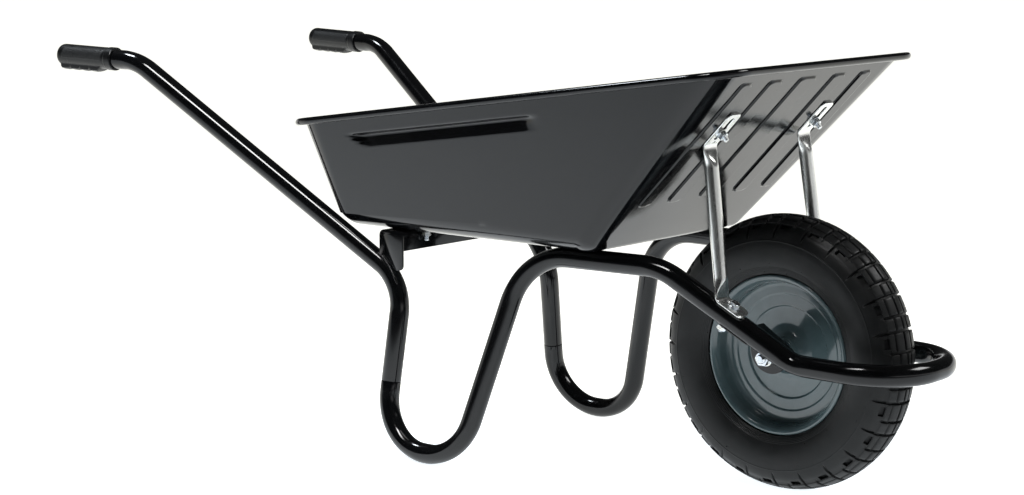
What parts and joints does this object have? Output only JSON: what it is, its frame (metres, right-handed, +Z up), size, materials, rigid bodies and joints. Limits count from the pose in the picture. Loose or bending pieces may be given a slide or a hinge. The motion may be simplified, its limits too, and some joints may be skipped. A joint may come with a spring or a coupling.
{
  "type": "wheelbarrow",
  "caption": "Wheelbarrow with a bent tube frame, deep pressed steel tray, braced front panel, rubber grips and a pneumatic disc wheel that turns freely.",
  "frame": {"origin": "on the ground, midway between the front of the nose loop and the grip ends, on the centre plane", "axes": "+X forward to the nose loop, +Y to the user's left, +Z up"},
  "size_m": [1.4446, 0.6092, 0.6124],
  "materials": {
    "frame_paint": "gloss black paint over steel tube",
    "tray_paint": "gloss black powder coat on pressed steel",
    "galvanised_steel": "bright galvanised steel",
    "zinc_fastener": "bright zinc plate",
    "bearing_steel": "ground bearing steel",
    "rim_enamel": "glossy blue-grey enamel on pressed steel",
    "tyre_rubber": "matt moulded black rubber",
    "tube_rubber": "smooth black rubber",
    "grip_rubber": "semi-gloss moulded black PVC"
  },
  "bodies": {
    "frame": {"lower_frame_tube": "frame_paint", "handle_tube_left": "frame_paint", "handle_tube_right": "frame_paint", "rear_crossmember": "frame_paint", "axle_bracket_left": "frame_paint", "axle_bracket_right": "frame_paint", "tray": "tray_paint", "strut_left": "galvanised_steel", "strut_right": "galvanised_steel", "tray_floor_bolts": "zinc_fastener", "tray_floor_nuts": "zinc_fastener", "strut_top_bolts": "zinc_fastener", "strut_top_washers": "zinc_fastener", "strut_top_nuts": "zinc_fastener", "strut_foot_bolts": "zinc_fastener", "strut_foot_washers": "zinc_fastener", "strut_foot_nuts": "zinc_fastener", "axle_rod": "zinc_fastener", "axle_nuts": "zinc_fastener", "axle_washers": "zinc_fastener", "axle_outer_spacers": "zinc_fastener", "axle_inner_sleeve": "zinc_fastener", "bearing_inner_rings": "bearing_steel", "grip_left": "grip_rubber", "grip_right": "grip_rubber"},
    "wheel": {"bearing_outer_rings": "bearing_steel", "bearing_balls": "bearing_steel", "bearing_shields": "bearing_steel", "hub_tube": "rim_enamel", "rim_half_left": "rim_enamel", "rim_half_right": "rim_enamel", "tyre": "tyre_rubber", "inner_tube": "tube_rubber", "valve_stem": "tube_rubber", "valve_cap": "tube_rubber"}
  },
  "joints": [
    {"name": "wheel_spin", "type": "hinge", "parent": "frame", "child": "wheel", "pos_m": [0.472, 0, 0.197], "axis": [0, 1, 0], "continuous": true}
  ]
}
